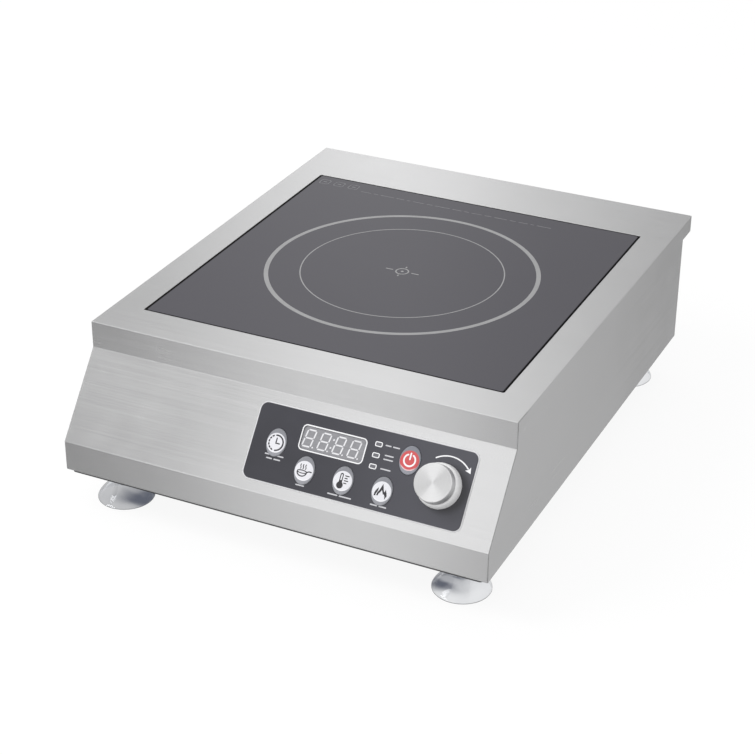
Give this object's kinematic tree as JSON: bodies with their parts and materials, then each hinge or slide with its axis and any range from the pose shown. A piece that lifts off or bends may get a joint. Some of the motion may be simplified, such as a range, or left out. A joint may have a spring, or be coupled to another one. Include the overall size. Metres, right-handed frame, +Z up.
{
  "type": "induction hob",
  "caption": "Countertop single-zone induction hob: folded steel housing, flush square glass plate, sloping control panel with push keys and rotary knob, on suction feet.",
  "frame": {"origin": "on the worktop, under the centre of the hob's outline (bottom centre of its bounding box)", "axes": "+X to the right of a cook facing the controls, +Y from the control side to the back, +Z up"},
  "size_m": [0.33, 0.416, 0.13],
  "materials": {
    "brushed_steel_outer": "brushed stainless steel, satin",
    "steel_base": "plain mill-finish sheet",
    "steel_inner": "plain sheet",
    "ceramic_glass": "polished black ceramic glass with grey printed rings",
    "black_silicone": "matte silicone bead",
    "clear_soft_plastic": "clear glossy soft plastic",
    "panel_dark": "dark printed panel with a light rim",
    "window_smoke": "smoky clear lens",
    "key_grey": "grey key with a light disc",
    "key_red": "grey key with a red disc",
    "lamp_lens": "light-coloured lens",
    "spun_aluminium": "spun and brushed",
    "zinc_plated": "bright plated",
    "board_green": "solder-mask green",
    "black_plastic": "black moulded plastic",
    "copper_wire": "enamelled copper",
    "sensor_ceramic": "unglazed",
    "ferrite": "sintered, dark",
    "heatsink_aluminium": "extruded",
    "capacitor_yellow": "moulded case",
    "capacitor_blue": "moulded case",
    "cable_grey": "flat cable jacket",
    "cable_black": "cable jacket",
    "lead_red": "woven high-temperature sleeve"
  },
  "bodies": {
    "hob_body": {"housing_shell": "brushed_steel_outer", "rear_panel": "brushed_steel_outer", "base_plate": "steel_base", "glass_support_frame": "steel_inner", "glass_plate": "ceramic_glass", "glass_seal": "black_silicone", "control_overlay": "panel_dark", "display_window": "window_smoke", "display_module": "black_plastic", "encoder_body": "zinc_plated", "encoder_nut": "zinc_plated", "control_board": "board_green", "control_bracket": "steel_inner", "induction_coil": "copper_wire", "coil_carrier": "black_plastic", "thermal_sensor": "sensor_ceramic", "sensor_spring": "zinc_plated", "power_board": "board_green", "heatsink": "heatsink_aluminium", "power_transistor": "black_plastic", "bridge_rectifier": "black_plastic", "resonance_capacitor": "capacitor_yellow", "filter_capacitor": "capacitor_blue", "emi_choke": "copper_wire", "fan_frame": "black_plastic", "power_inlet": "black_plastic", "ribbon_cable": "cable_grey", "coil_lead_a": "lead_red", "coil_lead_b": "lead_red", "mains_lead": "cable_black", "switch_timer": "black_plastic", "switch_cook": "black_plastic", "switch_warm": "black_plastic", "switch_heat": "black_plastic", "switch_power": "black_plastic", "indicator_power": "lamp_lens", "indicator_warm": "lamp_lens", "indicator_time": "lamp_lens", "foot_front_left": "clear_soft_plastic", "foot_screw_front_left": "zinc_plated", "foot_front_right": "clear_soft_plastic", "foot_screw_front_right": "zinc_plated", "foot_rear_left": "clear_soft_plastic", "foot_screw_rear_left": "zinc_plated", "foot_rear_right": "clear_soft_plastic", "foot_screw_rear_right": "zinc_plated", "ferrite_bar_1": "ferrite", "ferrite_bar_2": "ferrite", "ferrite_bar_3": "ferrite", "ferrite_bar_4": "ferrite"},
    "knob_group": {"knob": "spun_aluminium", "encoder_shaft": "zinc_plated"},
    "fan_rotor": {"fan_rotor": "black_plastic"},
    "key_timer": {"key_timer": "key_grey"},
    "key_cook": {"key_cook": "key_grey"},
    "key_warm": {"key_warm": "key_grey"},
    "key_heat": {"key_heat": "key_grey"},
    "key_power": {"key_power": "key_red"}
  },
  "joints": [
    {"name": "knob_turn", "type": "hinge", "parent": "hob_body", "child": "knob_group", "pos_m": [0.1202, -0.18624, 0.08119], "axis": [0, -0.7863, 0.6178], "continuous": true},
    {"name": "key_timer_press", "type": "slide", "parent": "hob_body", "child": "key_timer", "axis": [0, 0.7863, -0.6178], "range_m": [0, 0.0004]},
    {"name": "key_cook_press", "type": "slide", "parent": "hob_body", "child": "key_cook", "axis": [0, 0.7863, -0.6178], "range_m": [0, 0.0004]},
    {"name": "key_warm_press", "type": "slide", "parent": "hob_body", "child": "key_warm", "axis": [0, 0.7863, -0.6178], "range_m": [0, 0.0004]},
    {"name": "key_heat_press", "type": "slide", "parent": "hob_body", "child": "key_heat", "axis": [0, 0.7863, -0.6178], "range_m": [0, 0.0004]},
    {"name": "key_power_press", "type": "slide", "parent": "hob_body", "child": "key_power", "axis": [0, 0.7863, -0.6178], "range_m": [0, 0.0004]},
    {"name": "fan_spin", "type": "hinge", "parent": "hob_body", "child": "fan_rotor", "pos_m": [0.092, 0.092, 0.04], "axis": [0, 0, 1], "continuous": true}
  ]
}
